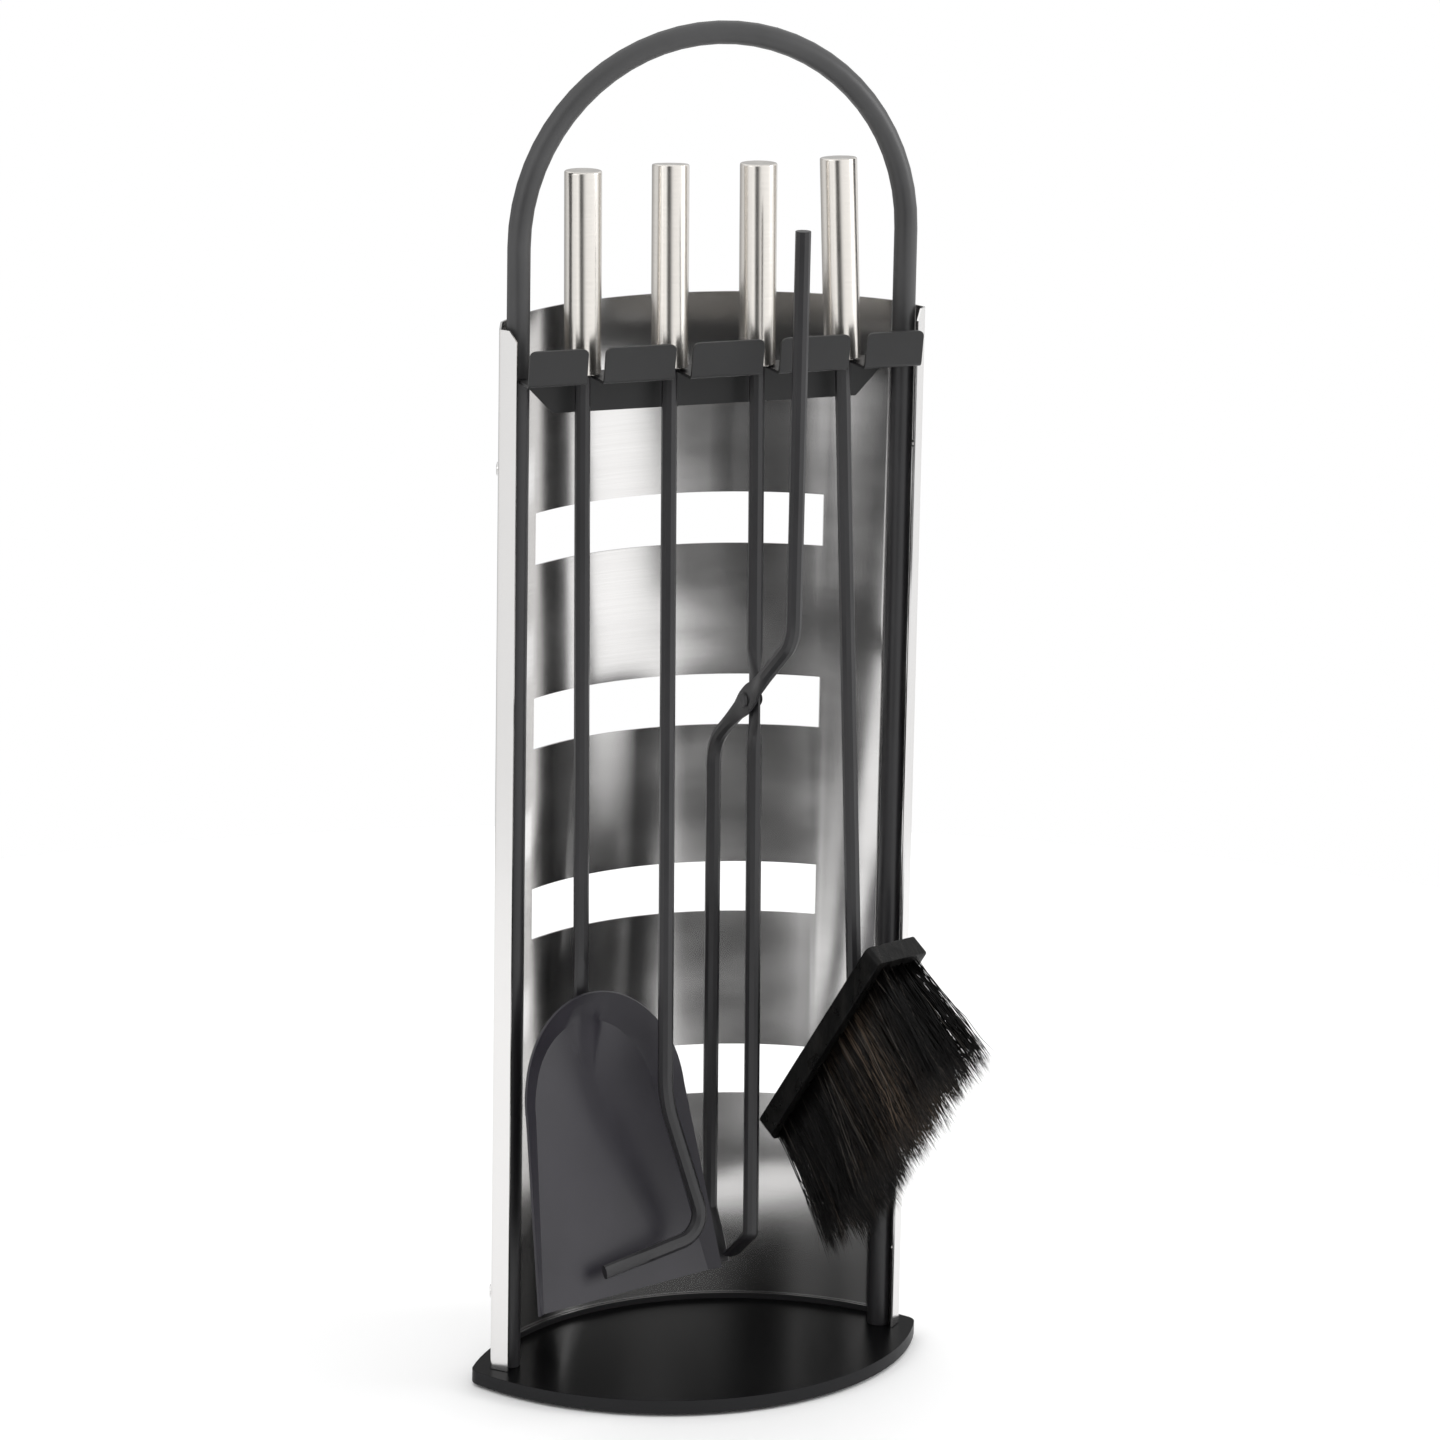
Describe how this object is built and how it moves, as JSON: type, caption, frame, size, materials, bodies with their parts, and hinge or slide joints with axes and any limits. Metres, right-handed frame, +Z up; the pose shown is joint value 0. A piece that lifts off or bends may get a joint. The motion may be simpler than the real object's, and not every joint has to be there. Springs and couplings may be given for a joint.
{
  "type": "fireplace tool set",
  "caption": "Arched fireplace stand with a curved slotted steel back panel and a notched rack that carries a shovel, a poker, tongs and a hearth brush.",
  "frame": {"origin": "middle of the base's underside, on the surface that the set stands on", "axes": "+Z up, the front with the rack's tabs and the tools faces -Y, +X to the right seen from the front"},
  "size_m": [0.254, 0.1862, 0.714],
  "materials": {
    "black_powder_coat": "satin black powder coat on steel",
    "brushed_stainless": "brushed stainless steel",
    "plated_steel": "zinc plated steel",
    "black_stained_wood": "black painted wood",
    "dark_bristle": "black and dark brown bristle",
    "black_rubber": "black rubber foam"
  },
  "bodies": {
    "stand": {"base_pad": "black_rubber", "base_plate": "black_powder_coat", "panel_seat_rail": "black_powder_coat", "back_panel": "brushed_stainless", "post_left": "black_powder_coat", "post_right": "black_powder_coat", "post_plug_left": "plated_steel", "post_plug_right": "plated_steel", "post_screw_left": "plated_steel", "post_screw_right": "plated_steel", "joint_spigot_left": "plated_steel", "joint_spigot_right": "plated_steel", "arch_handle": "black_powder_coat", "tool_rack": "black_powder_coat", "panel_screw_left_low": "plated_steel", "panel_screw_left_high": "plated_steel", "panel_screw_right_low": "plated_steel", "panel_screw_right_high": "plated_steel"},
    "shovel": {"shovel_handle": "brushed_stainless", "shovel_handle_bush": "black_powder_coat", "shovel_rod": "black_powder_coat", "shovel_blade": "black_powder_coat"},
    "poker": {"poker_handle": "brushed_stainless", "poker_handle_bush": "black_powder_coat", "poker_rod": "black_powder_coat"},
    "tongs": {"tongs_handle": "brushed_stainless", "tongs_handle_bush": "black_powder_coat", "tongs_main_arm": "black_powder_coat", "tongs_rivet": "black_powder_coat"},
    "tongs_arm": {"tongs_cranked_arm": "black_powder_coat"},
    "brush": {"brush_handle": "brushed_stainless", "brush_handle_bush": "black_powder_coat", "brush_rod": "black_powder_coat", "brush_block": "black_stained_wood", "brush_bristles": "dark_bristle"}
  },
  "joints": [
    {"name": "shovel_lift", "type": "slide", "parent": "stand", "child": "shovel", "axis": [-0.0018, 0.0227, 0.9997], "range_m": [0, 0.018]},
    {"name": "poker_lift", "type": "slide", "parent": "stand", "child": "poker", "axis": [0.0265, 0.1001, 0.9946], "range_m": [0, 0.05]},
    {"name": "tongs_lift", "type": "slide", "parent": "stand", "child": "tongs", "axis": [0, 0.0325, 0.9995], "range_m": [0, 0.05]},
    {"name": "brush_lift", "type": "slide", "parent": "stand", "child": "brush", "axis": [-0.0161, 0.0711, 0.9973], "range_m": [0, 0.018]},
    {"name": "tongs_open", "type": "hinge", "parent": "tongs", "child": "tongs_arm", "pos_m": [0.01936, -0.00337, 0.36261], "axis": [0.9877, 0.1563, -0.0051], "range_deg": [0, 5]}
  ]
}
